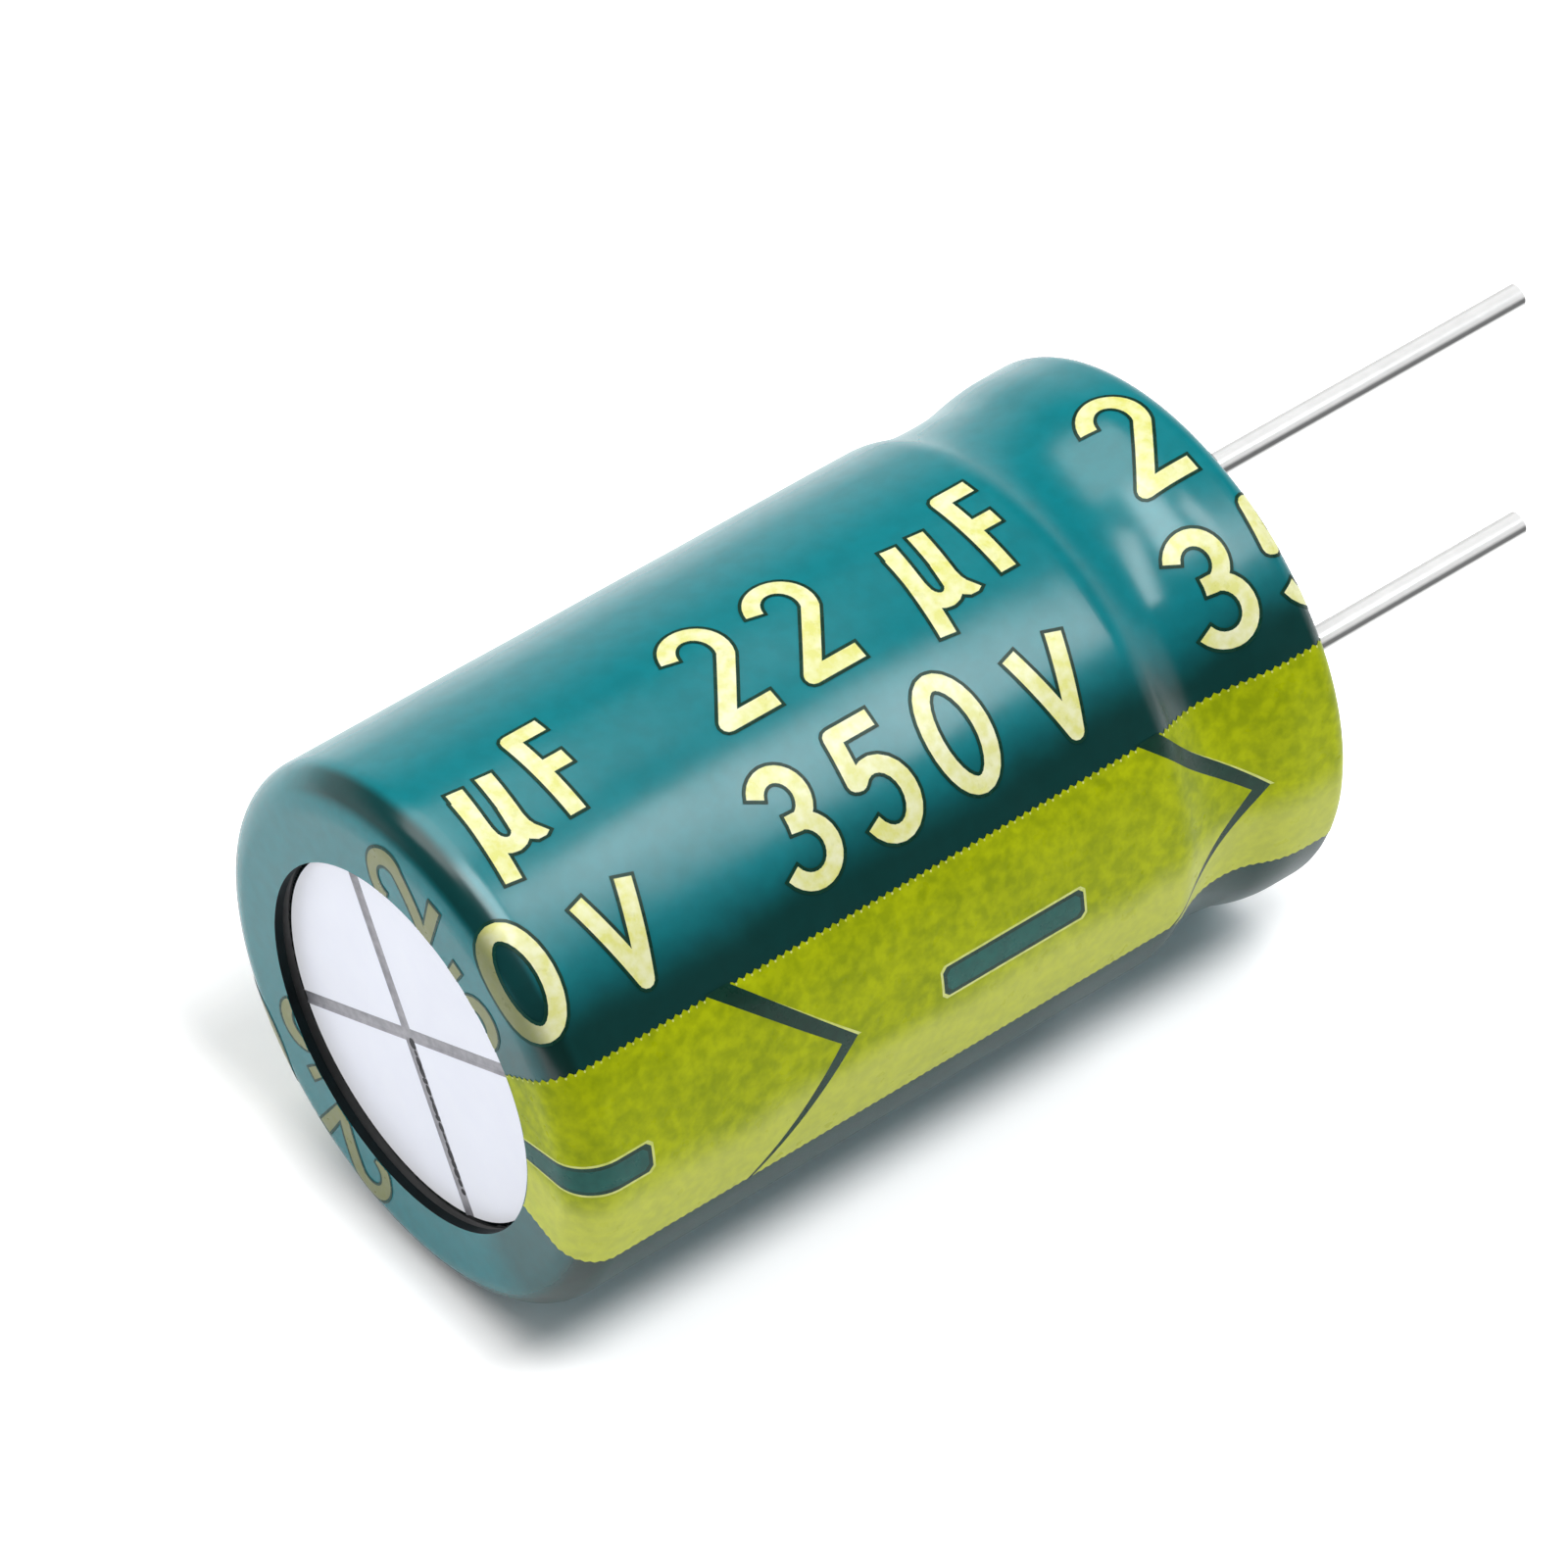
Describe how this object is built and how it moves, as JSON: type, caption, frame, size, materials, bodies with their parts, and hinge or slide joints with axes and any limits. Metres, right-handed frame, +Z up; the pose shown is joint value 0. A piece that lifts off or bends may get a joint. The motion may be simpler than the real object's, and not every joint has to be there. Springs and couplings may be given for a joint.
{
  "type": "electrolytic capacitor",
  "caption": "Radial aluminium electrolytic capacitor: beaded can in a printed shrink sleeve, with a rubber seal, a wound foil element and two wire leads.",
  "frame": {"origin": "centre of the sleeve's resting ring at the closed end", "axes": "+Z up the axis towards the leads, +X from the axis to the cathode lead, -X to the anode lead"},
  "size_m": [0.013, 0.013, 0.0342],
  "materials": {
    "sleeve": "glossy shrunk film",
    "stripe_print": "glossy printed film",
    "can_metal": "bright drawn",
    "seal_rubber": "matte moulded",
    "tab_metal": "satin",
    "lead_wire": "bright tinned",
    "etched_foil": "matte etched",
    "plain_foil": "dull",
    "separator_paper": "damp kraft paper",
    "closing_tape": "matte tape"
  },
  "bodies": {
    "root": {"sleeve": "sleeve", "polarity_stripe": "stripe_print", "can": "can_metal", "end_seal": "seal_rubber", "anode_tab": "tab_metal", "cathode_tab": "tab_metal", "anode_lead": "lead_wire", "cathode_lead": "lead_wire", "anode_foil": "etched_foil", "inner_separator": "separator_paper", "cathode_foil": "plain_foil", "outer_separator": "separator_paper", "winding_tape": "closing_tape"}
  },
  "joints": []
}
